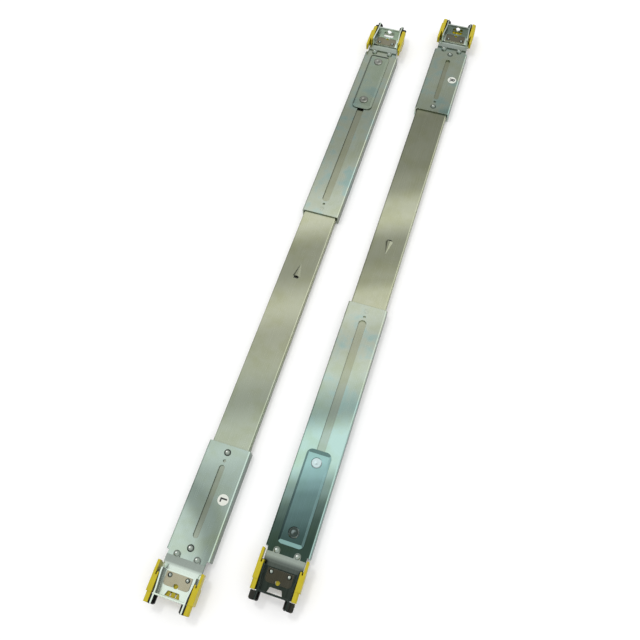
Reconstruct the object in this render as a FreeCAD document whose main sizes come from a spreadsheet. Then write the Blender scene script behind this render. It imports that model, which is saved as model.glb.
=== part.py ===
import FreeCAD, Part
import os
import Sketcher
from types import SimpleNamespace

# Sliding server rail pair, millimetres, +Z up.
# The two rails lie side by side with their webs up, and point opposite ways along Y.
# Each rail is a ball-bearing slide in three members, held at its front by a short bracket that is riveted
# on, and at its rear by a long bracket that slides to suit the depth of the rack.

# Driving dimensions. Lengths along a rail are counted from the outer face of an end plate.
SIZES = {
    "rail_length": 723.0,
    "rail_spacing": 84.5,
    "rail_stagger": 30.0,
    "bracket_width": 42.4,
    "bracket_depth": 12.6,
    "bracket_sheet": 1.5,
    "bracket_bend": 1.9,
    "running_gap": 0.3,
    "front_bracket_reach": 144.0,
    "rear_bracket_reach": 298.0,
    "flange_start": 39.0,
    "web_start": 28.5,
    "strip_width": 36.8,
    "strip_start": 27.5,
    "strip_end": 35.0,
    "frame_floor_end": 23.0,
    "frame_height": 9.5,
    "pin_spacing": 31.75,
    "pin_rise": 4.75,
    "pin_diameter": 9.4,
    "pin_reach": 8.0,
    "pin_point": 1.2,
    "tongue_inset": 0.1,
    "toe_in": 1.4,
    "toe_in_start": 5.0,
    "toe_in_end": 19.0,
    "ledge_width": 40.0,
    "ledge_start": 1.0,
    "ledge_end": 27.0,
    "window_start": 2.0,
    "window_width": 14.0,
    "window_top_width": 11.0,
    "window_depth": 4.6,
    "window_corner": 1.2,
    "sight_hole": 4.6,
    "sight_hole_place": 11.6,
    "screw_hole": 5.5,
    "leaf_width": 24.6,
    "leaf_start": 9.8,
    "leaf_end": 21.8,
    "leaf_sheet": 0.8,
    "leaf_lobe": 3.2,
    "leaf_notch": 5.6,
    "leaf_rivet_spacing": 17.0,
    "leaf_rivet_place": 18.9,
    "leaf_rivet_shank": 2.6,
    "leaf_rivet_head": 4.4,
    "clinch_spacing": 19.6,
    "clinch_place": 37.4,
    "clinch_ear": 6.2,
    "clinch_shank": 3.0,
    "clinch_head": 5.4,
    "rivet_clearance": 0.05,
    "carriage_travel": 8.0,
    "carriage_width": 44.0,
    "carriage_start": 1.0,
    "block_length": 14.5,
    "arm_length": 12.5,
    "arm_thickness": 2.4,
    "prong_length": 2.5,
    "prong_thickness": 1.5,
    "crossbar_length": 13.0,
    "crossbar_sheet": 1.8,
    "rib_gap": 1.4,
    "rib_spacing": 5.0,
    "rib_length": 5.5,
    "stub_reach": 21.4,
    "stub_round": 2.2,
    "front_rivet_outer_place": 45.3,
    "front_rivet_inner_place": 136.7,
    "front_rivet_head": 6.8,
    "front_rivet_shank": 4.0,
    "front_slot_start": 54.5,
    "front_slot_end": 124.3,
    "front_slot_width": 5.5,
    "front_hole": 3.0,
    "front_hole_place": 128.4,
    "rear_slot_start": 46.0,
    "rear_slot_end": 280.2,
    "rear_slot_width": 8.2,
    "rear_hole": 2.8,
    "rear_hole_place": 284.2,
    "ring_mark": 4.8,
    "ring_mark_width": 0.8,
    "ring_mark_depth": 0.3,
    "ring_mark_place": 291.0,
    "guide_width": 24.5,
    "guide_start": 43.8,
    "guide_end": 135.0,
    "guide_sheet": 2.2,
    "guide_outer_corner": 4.5,
    "guide_inner_corner": 6.0,
    "guide_slope_drop": 1.5,
    "guide_side_slope": 2.2,
    "guide_outer_slope": 3.5,
    "guide_inner_slope": 4.2,
    "guide_rivet_outer_place": 56.0,
    "guide_rivet_inner_place": 122.2,
    "guide_rivet_head": 10.5,
    "guide_rivet_shank": 6.0,
    "guide_rivet_rise": 1.6,
    "guide_rivet_bevel": 0.9,
    "guide_rivet_dimple": 4.4,
    "member_width": 38.2,
    "member_sheet": 1.2,
    "member_inset": 41.0,
    "race_depth": 0.6,
    "race_land": 2.0,
    "outer_ball": 3.5,
    "inner_ball": 2.7,
    "ball_play": 0.35,
    "outer_race_rise": 6.6,
    "inner_race_rise": 3.2,
    "intermediate_rise": 8.4,
    "intermediate_foot": 1.2,
    "intermediate_inset": 44.0,
    "chassis_rise": 5.4,
    "chassis_foot": 0.3,
    "chassis_start": 5.0,
    "chassis_end": 44.0,
    "cabinet_foot": 1.0,
    "lip_gap": 0.4,
    "cage_sheet": 0.5,
    "outer_cage_length": 264.0,
    "inner_cage_length": 256.0,
    "cage_setback": 20.0,
    "cage_end": 12.0,
    "ball_pocket_clearance": 0.1,
    "keyhole_head": 8.0,
    "keyhole_neck": 4.4,
    "keyhole_drop": 9.0,
    "keyhole_margin": 65.0,
    "server_screw": 4.5,
    "server_screw_margin": 105.0,
    "lance_place": 340.5,
    "lance_width": 8.0,
    "lance_crest": 3.0,
    "lance_length": 16.0,
    "lance_rise": 2.0,
    "lance_slit": 2.4,
    "lance_slit_width": 5.0,
    "label_diameter": 10.5,
    "label_thickness": 0.15,
    "label_across": 12.2,
    "label_along_left": 93.9,
    "label_along_right": 87.9,
}
BALLS_PER_ROW = 6
KEYHOLES = 3

doc = FreeCAD.newDocument("ServerRailPair")
sheet = doc.addObject("Spreadsheet::Sheet", "Sizes")
for row, (alias, number) in enumerate(SIZES.items(), start=1):
    sheet.set(f"A{row}", alias.replace("_", " "))
    sheet.set(f"B{row}", str(number))
    sheet.setAlias(f"B{row}", alias)
doc.recompute()


class Size:
    """A length worked out from the sheet: its value now, and the expression that keeps it so."""

    def __init__(self, value, text):
        self.value = value
        self.text = text

    def combine(self, sign, other, value):
        return Size(value, f"({self.text} {sign} {as_size(other).text})")

    def __add__(self, other):
        return self.combine("+", other, self.value + as_size(other).value)

    def __sub__(self, other):
        return self.combine("-", other, self.value - as_size(other).value)

    def __mul__(self, other):
        return self.combine("*", other, self.value * as_size(other).value)

    def __truediv__(self, other):
        return self.combine("/", other, self.value / as_size(other).value)

    def __neg__(self):
        return Size(-self.value, f"(0 - {self.text})")


def as_size(number):
    """A plain number as a Size, or a Size as it is."""
    if isinstance(number, Size):
        return number
    return Size(float(number), repr(float(number)))


q = SimpleNamespace(**{alias: Size(number, f"Sizes.{alias}") for alias, number in SIZES.items()})

# Levels and places that several pieces share.
web_top = q.bracket_depth
web_under = q.bracket_depth - q.bracket_sheet
frame_top = web_under + q.frame_height
pin_level = web_under + q.pin_rise
pin_half = q.pin_spacing / 2
pin_radius = q.pin_diameter / 2
side_inner = pin_half - q.bracket_sheet / 2
side_outer = pin_half + q.bracket_sheet / 2
tongue_inner = side_inner - q.toe_in
tongue_outer = side_outer - q.toe_in
ledge_half = q.ledge_width / 2
strip_top = web_top + q.bracket_sheet
member_top = web_under - q.running_gap
member_web_under = member_top - q.member_sheet
cabinet_half = q.member_width / 2
outer_race = cabinet_half - q.member_sheet
outer_ball_across = outer_race - q.ball_play - q.outer_ball / 2
intermediate_race = outer_ball_across - q.outer_ball / 2 - q.ball_play
inner_race = intermediate_race + q.race_depth * 2 - q.member_sheet
inner_ball_across = inner_race - q.ball_play - q.inner_ball / 2
chassis_race = inner_ball_across - q.inner_ball / 2 - q.ball_play
race_half = q.race_land / 2
guide_under = web_top + q.running_gap
guide_top = guide_under + q.guide_sheet
chassis_length = q.rail_length - q.chassis_start - q.chassis_end


def bind(thing, name, length):
    """Ties a property of an object to the sheet."""
    thing.setExpression(name, as_size(length).text)


def new_body(label):
    body = doc.addObject("PartDesign::Body", label)
    body.Label = label
    return body


def new_sketch(body, name, role, offset=0):
    """A sketch on one of the body's own origin planes, moved along that plane's normal."""
    drawing = body.newObject("Sketcher::SketchObject", name)
    plane = next(item for item in body.Origin.OriginFeatures if item.Role == role)
    drawing.AttachmentSupport = [(plane, "")]
    drawing.MapMode = "FlatFace"
    bind(drawing, "AttachmentOffset.Base.z", offset)
    return drawing


def fix_coordinate(drawing, kind, axis, geometry, point, length):
    """Holds one coordinate of a point, on the axis itself where it is zero."""
    length = as_size(length)
    if abs(length.value) < 1e-9:
        drawing.addConstraint(Sketcher.Constraint("PointOnObject", geometry, point, axis))
        return
    index = drawing.addConstraint(Sketcher.Constraint(kind, -1, 1, geometry, point, length.value))
    drawing.setExpression(f"Constraints[{index}]", length.text)


def fix_point(drawing, geometry, point, x, y):
    fix_coordinate(drawing, "DistanceX", -2, geometry, point, x)
    fix_coordinate(drawing, "DistanceY", -1, geometry, point, y)


def fix_radius(drawing, geometry, radius):
    index = drawing.addConstraint(Sketcher.Constraint("Radius", geometry, as_size(radius).value))
    drawing.setExpression(f"Constraints[{index}]", as_size(radius).text)


def flat_vector(x, y):
    return FreeCAD.Vector(as_size(x).value, as_size(y).value, 0)


def draw_polygon(drawing, points):
    """A closed outline of straight lines through the points, each held by its coordinates."""
    start = drawing.GeometryCount
    count = len(points)
    for index in range(count):
        here = flat_vector(*points[index])
        there = flat_vector(*points[(index + 1) % count])
        drawing.addGeometry(Part.LineSegment(here, there))
    for index in range(count):
        following = start + (index + 1) % count
        drawing.addConstraint(Sketcher.Constraint("Coincident", start + index, 2, following, 1))
    for index, (x, y) in enumerate(points):
        fix_point(drawing, start + index, 1, x, y)


def draw_rectangle(drawing, left, right, low, high):
    draw_polygon(drawing, [(left, low), (right, low), (right, high), (left, high)])


def draw_circle(drawing, x, y, radius):
    circle = Part.Circle(flat_vector(x, y), FreeCAD.Vector(0, 0, 1), as_size(radius).value)
    index = drawing.addGeometry(circle)
    fix_point(drawing, index, 3, x, y)
    fix_radius(drawing, index, radius)


def draw_slot(drawing, start, end, width, across=0):
    """A round-ended slot along the sketch's vertical direction, from end to end."""
    radius = as_size(width) / 2
    low = as_size(start) + radius
    high = as_size(end) - radius
    x, r, y0, y1 = as_size(across).value, radius.value, low.value, high.value
    normal = FreeCAD.Vector(0, 0, 1)
    half_turn = 3.141592653589793
    first = drawing.GeometryCount
    upper = Part.Circle(FreeCAD.Vector(x, y1, 0), normal, r)
    lower = Part.Circle(FreeCAD.Vector(x, y0, 0), normal, r)
    drawing.addGeometry(Part.LineSegment(FreeCAD.Vector(x + r, y0, 0), FreeCAD.Vector(x + r, y1, 0)))
    drawing.addGeometry(Part.ArcOfCircle(upper, 0, half_turn))
    drawing.addGeometry(Part.LineSegment(FreeCAD.Vector(x - r, y1, 0), FreeCAD.Vector(x - r, y0, 0)))
    drawing.addGeometry(Part.ArcOfCircle(lower, half_turn, 2 * half_turn))
    for one, other in ((0, 1), (1, 2), (2, 3), (3, 0)):
        drawing.addConstraint(Sketcher.Constraint("Tangent", first + one, 2, first + other, 1))
    drawing.addConstraint(Sketcher.Constraint("Equal", first + 1, first + 3))
    fix_point(drawing, first + 1, 3, across, high)
    fix_point(drawing, first + 3, 3, across, low)
    fix_radius(drawing, first + 1, radius)


def pad(body, drawing, length, backwards=False):
    feature = body.newObject("PartDesign::Pad", drawing.Name + "_pad")
    feature.Profile = drawing
    bind(feature, "Length", length)
    feature.Reversed = backwards
    drawing.Visibility = False
    return feature


def cut_through(body, drawing, forwards=True):
    """Cuts the drawing through all of the body, along the sketch's normal if forwards."""
    feature = body.newObject("PartDesign::Pocket", drawing.Name + "_cut")
    feature.Profile = drawing
    feature.Type = "ThroughAll"
    feature.Reversed = forwards
    drawing.Visibility = False
    return feature


def cut_into(body, drawing, depth, forwards=True):
    """Cuts the drawing into the body to a depth, along the sketch's normal if forwards."""
    feature = cut_through(body, drawing, forwards)
    feature.Type = "Length"
    bind(feature, "Length", depth)
    return feature


def round_edges(body, radius, wanted, kind="PartDesign::Fillet"):
    """Rounds or chamfers the edges of the body's tip that the test picks by their two ends."""
    doc.recompute()
    tip = body.Tip
    names = []
    for index, edge in enumerate(tip.Shape.Edges, start=1):
        ends = [vertex.Point for vertex in edge.Vertexes]
        if len(ends) == 2 and wanted(ends[0], ends[1]):
            names.append(f"Edge{index}")
    if not names:
        raise RuntimeError(f"no edge to round on {body.Label}")
    feature = body.newObject(kind, f"{body.Name}_edges{len(body.Group)}")
    feature.Base = (tip, names)
    bind(feature, "Radius" if kind == "PartDesign::Fillet" else "Size", radius)
    return feature


def near(one, other):
    return abs(one - as_size(other).value) < 1e-4


def upright_edge_at(*places):
    """A test for edges parallel to Z at any of the given (x, y) places."""
    def wanted(a, b):
        upright = abs(a.x - b.x) < 1e-6 and abs(a.y - b.y) < 1e-6
        return upright and any(near(a.x, x) and near(a.y, y) for x, y in places)
    return wanted


def long_edge_at(*places):
    """A test for edges parallel to Y at any of the given (x, z) places."""
    def wanted(a, b):
        along = abs(a.x - b.x) < 1e-6 and abs(a.z - b.z) < 1e-6
        return along and any(near(a.x, x) and near(a.z, z) for x, z in places)
    return wanted


def mirrored(points):
    """A half outline and its mirror image about the vertical axis, as one closed outline."""
    return list(points) + [(-as_size(x), z) for x, z in reversed(points)]


def place(thing, rail, far_end, inward=0):
    """Sets a piece at the near or the far end of a rail, turned to point along the rail."""
    turn = 180 if far_end else 0
    thing.Placement = FreeCAD.Placement(FreeCAD.Vector(), FreeCAD.Rotation(FreeCAD.Vector(0, 0, 1), turn))
    half_run = (q.rail_length + q.rail_stagger) / 2
    near_plate = -half_run if rail == "left" else q.rail_stagger - half_run
    if far_end:
        along = near_plate + q.rail_length - inward
    else:
        along = near_plate + inward
    across = -q.rail_spacing / 2 if rail == "left" else q.rail_spacing / 2
    bind(thing, "Placement.Base.x", across)
    bind(thing, "Placement.Base.y", along)


# Sheet metal of the two brackets

def bracket(label, reach):
    """A channel with its web up, and a flat tongue of web that reaches under the end frame."""
    half = q.bracket_width / 2
    inner = half - q.bracket_sheet
    body = new_body(label)
    profile = new_sketch(body, label + "_profile", "XZ_Plane", -q.flange_start)
    draw_polygon(profile, mirrored([(half, 0), (half, web_top)]) + [
        (-inner, 0), (-inner, web_under), (inner, web_under), (inner, 0)])
    pad(body, profile, reach - q.flange_start, backwards=True)
    tongue = new_sketch(body, label + "_tongue", "XY_Plane", web_under)
    tongue_half = q.strip_width / 2
    draw_rectangle(tongue, -tongue_half, tongue_half, q.web_start, q.flange_start + q.bracket_sheet)
    pad(body, tongue, q.bracket_sheet)
    round_edges(body, q.bracket_bend, long_edge_at((half, web_top), (-half, web_top)))
    clinches = new_sketch(body, label + "_clinches", "XY_Plane")
    clinch_radius = q.clinch_shank / 2 + q.rivet_clearance
    for side in (-1, 1):
        draw_circle(clinches, q.clinch_spacing / 2 * side, q.clinch_place, clinch_radius)
    cut_through(body, clinches)
    return body


def front_bracket(label):
    """The short bracket, riveted to the slide, with a lightening slot and a small hole."""
    body = bracket(label, q.front_bracket_reach)
    slot = new_sketch(body, label + "_slot", "XY_Plane")
    draw_slot(slot, q.front_slot_start, q.front_slot_end, q.front_slot_width)
    cut_through(body, slot)
    holes = new_sketch(body, label + "_holes", "XY_Plane")
    rivet_radius = q.front_rivet_shank / 2 + q.rivet_clearance
    draw_circle(holes, 0, q.front_rivet_outer_place, rivet_radius)
    draw_circle(holes, 0, q.front_rivet_inner_place, rivet_radius)
    draw_circle(holes, 0, q.front_hole_place, q.front_hole / 2)
    cut_through(body, holes)
    return body


def rear_bracket(label):
    """The long bracket, with the slot that the guide rivets run in."""
    body = bracket(label, q.rear_bracket_reach)
    slot = new_sketch(body, label + "_slot", "XY_Plane")
    draw_slot(slot, q.rear_slot_start, q.rear_slot_end, q.rear_slot_width)
    cut_through(body, slot)
    hole = new_sketch(body, label + "_hole", "XY_Plane")
    draw_circle(hole, 0, q.rear_hole_place, q.rear_hole / 2)
    cut_through(body, hole)
    ring = new_sketch(body, label + "_ring", "XY_Plane", web_top - q.ring_mark_depth)
    draw_circle(ring, 0, q.ring_mark_place, q.ring_mark / 2)
    draw_circle(ring, 0, q.ring_mark_place, q.ring_mark / 2 - q.ring_mark_width)
    cut_through(body, ring)
    return body


def guide_plate(label):
    """The plate that holds the long bracket on the slide, with sloped sides and ends."""
    half = q.guide_width / 2
    body = new_body(label)
    outline = new_sketch(body, label + "_outline", "XY_Plane", guide_under)
    draw_rectangle(outline, -half, half, q.guide_start, q.guide_end)
    pad(body, outline, q.guide_sheet)
    round_edges(body, q.guide_outer_corner, upright_edge_at((-half, q.guide_start), (half, q.guide_start)))
    round_edges(body, q.guide_inner_corner, upright_edge_at((-half, q.guide_end), (half, q.guide_end)))
    slope_foot = guide_top - q.guide_slope_drop
    clear_above = guide_top + q.guide_sheet
    sides = new_sketch(body, label + "_side_slopes", "XZ_Plane")
    flat_half = half - q.guide_side_slope
    clear_half = half + q.guide_side_slope
    for side in (-1, 1):
        draw_polygon(sides, [
            (half * side, slope_foot), (flat_half * side, guide_top), (flat_half * side, clear_above),
            (clear_half * side, clear_above), (clear_half * side, slope_foot)])
    cut_through(body, sides, forwards=False)
    ends = new_sketch(body, label + "_end_slopes", "YZ_Plane", -half)
    for edge, slope in ((q.guide_start, q.guide_outer_slope), (q.guide_end, -q.guide_inner_slope)):
        draw_polygon(ends, [
            (edge, slope_foot), (edge + slope, guide_top), (edge + slope, clear_above),
            (edge - slope, clear_above), (edge - slope, slope_foot)])
    cut_through(body, ends)
    holes = new_sketch(body, label + "_holes", "XY_Plane")
    rivet_radius = q.guide_rivet_shank / 2 + q.rivet_clearance
    draw_circle(holes, 0, q.guide_rivet_outer_place, rivet_radius)
    draw_circle(holes, 0, q.guide_rivet_inner_place, rivet_radius)
    cut_through(body, holes)
    return body


# The end mechanism that grips the rack post

def end_frame(label):
    """Floor and ledges, end plate, two toed-in side plates with tongues, and a strip on the bracket's web."""
    body = new_body(label)
    floor = new_sketch(body, label + "_floor", "XY_Plane", web_under)
    draw_polygon(floor, mirrored([
        (tongue_outer, 0), (tongue_outer, q.ledge_start), (ledge_half, q.ledge_start),
        (ledge_half, q.ledge_end), (side_inner, q.ledge_end), (side_inner, q.frame_floor_end)]))
    pad(body, floor, q.bracket_sheet)
    sides = new_sketch(body, label + "_sides", "XY_Plane", web_under)
    for side in (-1, 1):
        draw_polygon(sides, [
            (tongue_inner * side, 0), (tongue_outer * side, 0), (tongue_outer * side, q.toe_in_start),
            (side_outer * side, q.toe_in_end), (side_outer * side, q.frame_floor_end),
            (side_inner * side, q.frame_floor_end), (side_inner * side, q.toe_in_end),
            (tongue_inner * side, q.toe_in_start)])
    pad(body, sides, q.frame_height)
    plate = new_sketch(body, label + "_plate", "XZ_Plane")
    draw_rectangle(plate, -tongue_inner, tongue_inner, web_under, frame_top)
    pad(body, plate, q.bracket_sheet, backwards=True)
    tongues = new_sketch(body, label + "_tongues", "XZ_Plane", -q.bracket_sheet)
    tongue_half = pin_radius - q.tongue_inset
    for side in (-1, 1):
        draw_rectangle(tongues, tongue_inner * side, tongue_outer * side,
                       pin_level - tongue_half, pin_level + tongue_half)
    pad(body, tongues, q.pin_reach + q.bracket_sheet - q.running_gap)
    joggle = new_sketch(body, label + "_joggle", "YZ_Plane", -q.strip_width / 2)
    draw_polygon(joggle, [
        (q.frame_floor_end - q.bracket_sheet, web_under),
        (q.frame_floor_end + q.running_gap, web_under),
        (q.strip_start + q.running_gap, web_top),
        (q.strip_end, web_top),
        (q.strip_end, strip_top),
        (q.strip_start, strip_top),
        (q.frame_floor_end, web_top),
        (q.frame_floor_end - q.bracket_sheet, web_top)])
    pad(body, joggle, q.strip_width)
    ears = new_sketch(body, label + "_ears", "XY_Plane", web_top)
    for side in (-1, 1):
        draw_slot(ears, q.strip_start + q.clinch_ear / 2, q.clinch_place + q.clinch_ear / 2, q.clinch_ear,
                  q.clinch_spacing / 2 * side)
    pad(body, ears, q.bracket_sheet)
    shoulders = new_sketch(body, label + "_shoulders", "XY_Plane", web_top)
    reach_out = q.strip_width / 2 + q.bracket_sheet
    for side in (-1, 1):
        draw_polygon(shoulders, [
            (side_outer * side, q.frame_floor_end - q.bracket_sheet * 2),
            (reach_out * side, q.frame_floor_end - q.bracket_sheet * 2),
            (reach_out * side, q.strip_start + q.bracket_sheet),
            (side_outer * side, q.strip_start - q.bracket_sheet)])
    cut_through(body, shoulders)
    window = new_sketch(body, label + "_window", "XY_Plane")
    window_end = q.window_start + q.window_depth
    top_half = q.window_top_width / 2
    draw_polygon(window, [
        (-q.window_width / 2, q.window_start), (q.window_width / 2, q.window_start),
        (top_half, window_end), (-top_half, window_end)])
    cut_through(body, window)
    round_edges(body, q.window_corner, upright_edge_at((top_half, window_end), (-top_half, window_end)))
    openings = new_sketch(body, label + "_openings", "XY_Plane")
    draw_circle(openings, 0, q.sight_hole_place, q.sight_hole / 2)
    for side in (-1, 1):
        draw_circle(openings, q.leaf_rivet_spacing / 2 * side, q.leaf_rivet_place,
                    q.leaf_rivet_shank / 2 + q.rivet_clearance)
        draw_circle(openings, q.clinch_spacing / 2 * side, q.clinch_place,
                    q.clinch_shank / 2 + q.rivet_clearance)
    cut_through(body, openings)
    screw = new_sketch(body, label + "_screw", "XZ_Plane", q.bracket_sheet)
    draw_circle(screw, 0, pin_level, q.screw_hole / 2)
    cut_into(body, screw, q.bracket_sheet * 3, forwards=False)
    return body


def leaf_spring(label):
    """A flat spring with two round lobes either side of a notch over the sight hole."""
    half = q.leaf_width / 2
    body = new_body(label)
    outline = new_sketch(body, label + "_outline", "XY_Plane", web_top)
    draw_rectangle(outline, -half, half, q.leaf_start, q.leaf_end)
    pad(body, outline, q.leaf_sheet)
    round_edges(body, q.leaf_lobe, upright_edge_at((-half, q.leaf_start), (half, q.leaf_start)))
    openings = new_sketch(body, label + "_openings", "XY_Plane")
    draw_circle(openings, 0, q.leaf_start + q.bracket_sheet / 2, q.leaf_notch / 2)
    for side in (-1, 1):
        draw_circle(openings, q.leaf_rivet_spacing / 2 * side, q.leaf_rivet_place,
                    q.leaf_rivet_shank / 2 + q.rivet_clearance)
    cut_through(body, openings)
    return body


def carriage(label):
    """Two blocks that grip the frame's ledges, each with an arm and a stub, and a crossbar below."""
    half = q.carriage_width / 2
    block_inner = side_outer + q.running_gap
    wall_inner = ledge_half + q.running_gap
    bar_under = web_under - q.running_gap - q.crossbar_sheet
    block_under = web_top + q.running_gap
    block_top = frame_top + q.running_gap
    block_end = q.carriage_start + q.block_length
    body = new_body(label)
    bar = new_sketch(body, label + "_bar", "XY_Plane", bar_under)
    draw_rectangle(bar, -half, half, q.carriage_start, q.carriage_start + q.crossbar_length)
    pad(body, bar, q.crossbar_sheet)
    walls = new_sketch(body, label + "_walls", "XY_Plane", bar_under)
    for side in (-1, 1):
        draw_rectangle(walls, wall_inner * side, half * side, q.carriage_start, block_end)
    pad(body, walls, block_top - bar_under)
    forks = new_sketch(body, label + "_forks", "XY_Plane", block_under)
    prong_outer = block_inner + q.prong_thickness
    arm_inner = half - q.arm_thickness
    arm_end = block_end + q.arm_length
    for side in (-1, 1):
        draw_polygon(forks, [
            (block_inner * side, q.carriage_start),
            (half * side, q.carriage_start),
            (half * side, arm_end),
            (arm_inner * side, arm_end),
            (arm_inner * side, block_end),
            (prong_outer * side, block_end),
            (prong_outer * side, block_end + q.prong_length),
            (block_inner * side, block_end + q.prong_length)])
    pad(body, forks, block_top - block_under)
    round_edges(body, q.arm_thickness / 3, upright_edge_at(
        (half, arm_end), (arm_inner, arm_end), (-half, arm_end), (-arm_inner, arm_end)))
    stubs = new_sketch(body, label + "_stubs", "XZ_Plane", -q.carriage_start - q.bracket_sheet)
    stub_top = pin_level + pin_radius
    for side in (-1, 1):
        draw_rectangle(stubs, block_inner * side, q.stub_reach * side, pin_level + q.running_gap, stub_top)
    pad(body, stubs, q.pin_reach + q.carriage_start + q.bracket_sheet - q.running_gap)
    round_edges(body, q.stub_round, long_edge_at((q.stub_reach, stub_top), (-q.stub_reach, stub_top)))
    ribs = new_sketch(body, label + "_ribs", "XY_Plane")
    rib_start = q.carriage_start + q.bracket_sheet
    for side in (-1, 1):
        rib_inner = (q.rib_spacing - q.rib_gap) / 2 * side
        rib_outer = (q.rib_spacing + q.rib_gap) / 2 * side
        draw_rectangle(ribs, rib_inner, rib_outer, rib_start, rib_start + q.rib_length)
    cut_through(body, ribs)
    return body


def revolved(name, outline, x, y, arc_radius=None):
    """Turns an outline of (radius, height) points about an upright axis at x, y.

    The line that ends at the last point is an arc of arc_radius, if that is given.
    """
    drawing = doc.addObject("Sketcher::SketchObject", name + "_outline")
    drawing.Placement = FreeCAD.Placement(FreeCAD.Vector(), FreeCAD.Rotation(FreeCAD.Vector(1, 0, 0), 90))
    count = len(outline)
    for index in range(count):
        here = flat_vector(*outline[index])
        there = flat_vector(*outline[(index + 1) % count])
        if arc_radius is not None and index == count - 2:
            radius = as_size(arc_radius).value
            circle = Part.Circle(FreeCAD.Vector(0, there.y - radius, 0), FreeCAD.Vector(0, 0, 1), radius)
            drawing.addGeometry(Part.ArcOfCircle(circle, circle.parameter(here), circle.parameter(there)))
        else:
            drawing.addGeometry(Part.LineSegment(here, there))
    for index in range(count):
        drawing.addConstraint(Sketcher.Constraint("Coincident", index, 2, (index + 1) % count, 1))
    for index, (radius, height) in enumerate(outline):
        if arc_radius is not None and index == count - 2:
            fix_point(drawing, index - 1, 2, radius, height)
        else:
            fix_point(drawing, index, 1, radius, height)
    if arc_radius is not None:
        fix_radius(drawing, count - 2, arc_radius)
    turned = doc.addObject("Part::Revolution", name)
    turned.Source = drawing
    turned.Axis = FreeCAD.Vector(0, 0, 1)
    turned.Angle = 360
    turned.Solid = True
    bind(turned, "Placement.Base.x", x)
    bind(turned, "Placement.Base.y", y)
    return turned


def rivet(name, x, y, foot, seat, shank, head, rise):
    """A rivet with a domed head on its seat and its shank down to the foot."""
    dome = (head / 2 * (head / 2) + rise * rise) / (rise * 2)
    outline = [(0, foot), (shank / 2, foot), (shank / 2, seat), (head / 2, seat), (0, seat + rise)]
    return revolved(name, outline, x, y, arc_radius=dome)


def group(label, pieces):
    gathered = doc.addObject("Part::Compound", label)
    gathered.Label = label
    gathered.Links = pieces
    return gathered


def leaf_rivets(label):
    rise = q.leaf_rivet_head / 4
    return group(label, [
        rivet(f"{label}_{index}", q.leaf_rivet_spacing / 2 * side, q.leaf_rivet_place, web_under,
              web_top + q.leaf_sheet, q.leaf_rivet_shank, q.leaf_rivet_head, rise)
        for index, side in enumerate((-1, 1))])


def clinch_rivets(label):
    rise = q.clinch_head / 5
    return group(label, [
        rivet(f"{label}_{index}", q.clinch_spacing / 2 * side, q.clinch_place, web_under,
              strip_top, q.clinch_shank, q.clinch_head, rise)
        for index, side in enumerate((-1, 1))])


def front_rivets(label):
    rise = q.front_rivet_head / 4
    return group(label, [
        rivet(f"{label}_{index}", 0, along, member_web_under, web_top,
              q.front_rivet_shank, q.front_rivet_head, rise)
        for index, along in enumerate((q.front_rivet_outer_place, q.front_rivet_inner_place))])


def guide_rivets(label):
    """Flat rivets with a bevelled rim and the dimple that the forming tool leaves."""
    head_top = guide_top + q.guide_rivet_rise
    outline = [
        (0, member_web_under), (q.guide_rivet_shank / 2, member_web_under),
        (q.guide_rivet_shank / 2, guide_top), (q.guide_rivet_head / 2, guide_top),
        (q.guide_rivet_head / 2, head_top - q.guide_rivet_bevel),
        (q.guide_rivet_head / 2 - q.guide_rivet_bevel, head_top),
        (q.guide_rivet_dimple / 2, head_top), (0, head_top - q.guide_rivet_bevel)]
    return group(label, [
        revolved(f"{label}_{index}", outline, 0, along)
        for index, along in enumerate((q.guide_rivet_outer_place, q.guide_rivet_inner_place))])


def latch_pins(label):
    """Two round pins, each split by its tongue and open above on its outer side for the stub."""
    pieces = []
    for index, side in enumerate((-1, 1)):
        shank_length = q.pin_reach - q.pin_point - q.rivet_clearance
        shank = doc.addObject("Part::Cylinder", f"{label}_shank{index}")
        bind(shank, "Radius", pin_radius)
        bind(shank, "Height", shank_length)
        point = doc.addObject("Part::Cone", f"{label}_point{index}")
        bind(point, "Radius1", pin_radius)
        bind(point, "Radius2", pin_radius - q.pin_point)
        bind(point, "Height", q.pin_point)
        for piece, back in ((shank, q.rivet_clearance), (point, q.pin_reach - q.pin_point)):
            forwards = FreeCAD.Rotation(FreeCAD.Vector(1, 0, 0), 90)
            piece.Placement = FreeCAD.Placement(FreeCAD.Vector(), forwards)
            bind(piece, "Placement.Base.x", pin_half * side)
            bind(piece, "Placement.Base.y", -back)
            bind(piece, "Placement.Base.z", pin_level)
        pin = doc.addObject("Part::Fuse", f"{label}_pin{index}")
        pin.Base = shank
        pin.Tool = point
        split = doc.addObject("Part::Box", f"{label}_split{index}")
        bind(split, "Length", q.bracket_sheet)
        bind(split, "Width", q.pin_reach + q.bracket_sheet)
        bind(split, "Height", q.pin_diameter)
        bind(split, "Placement.Base.x", tongue_inner if side > 0 else -tongue_outer)
        seat = doc.addObject("Part::Box", f"{label}_seat{index}")
        bind(seat, "Length", q.pin_diameter)
        bind(seat, "Width", q.pin_reach + q.bracket_sheet)
        bind(seat, "Height", pin_radius)
        bind(seat, "Placement.Base.x", side_outer if side > 0 else -side_outer - q.pin_diameter)
        for tool, low in ((split, pin_level - pin_radius), (seat, pin_level)):
            bind(tool, "Placement.Base.y", -q.pin_reach - q.bracket_sheet / 2)
            bind(tool, "Placement.Base.z", low)
        tools = doc.addObject("Part::Fuse", f"{label}_tools{index}")
        tools.Base = split
        tools.Tool = seat
        opened = doc.addObject("Part::Cut", f"{label}_halves{index}")
        opened.Base = pin
        opened.Tool = tools
        pieces.append(opened)
    return group(label, pieces)


# The ball-bearing slide

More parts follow.
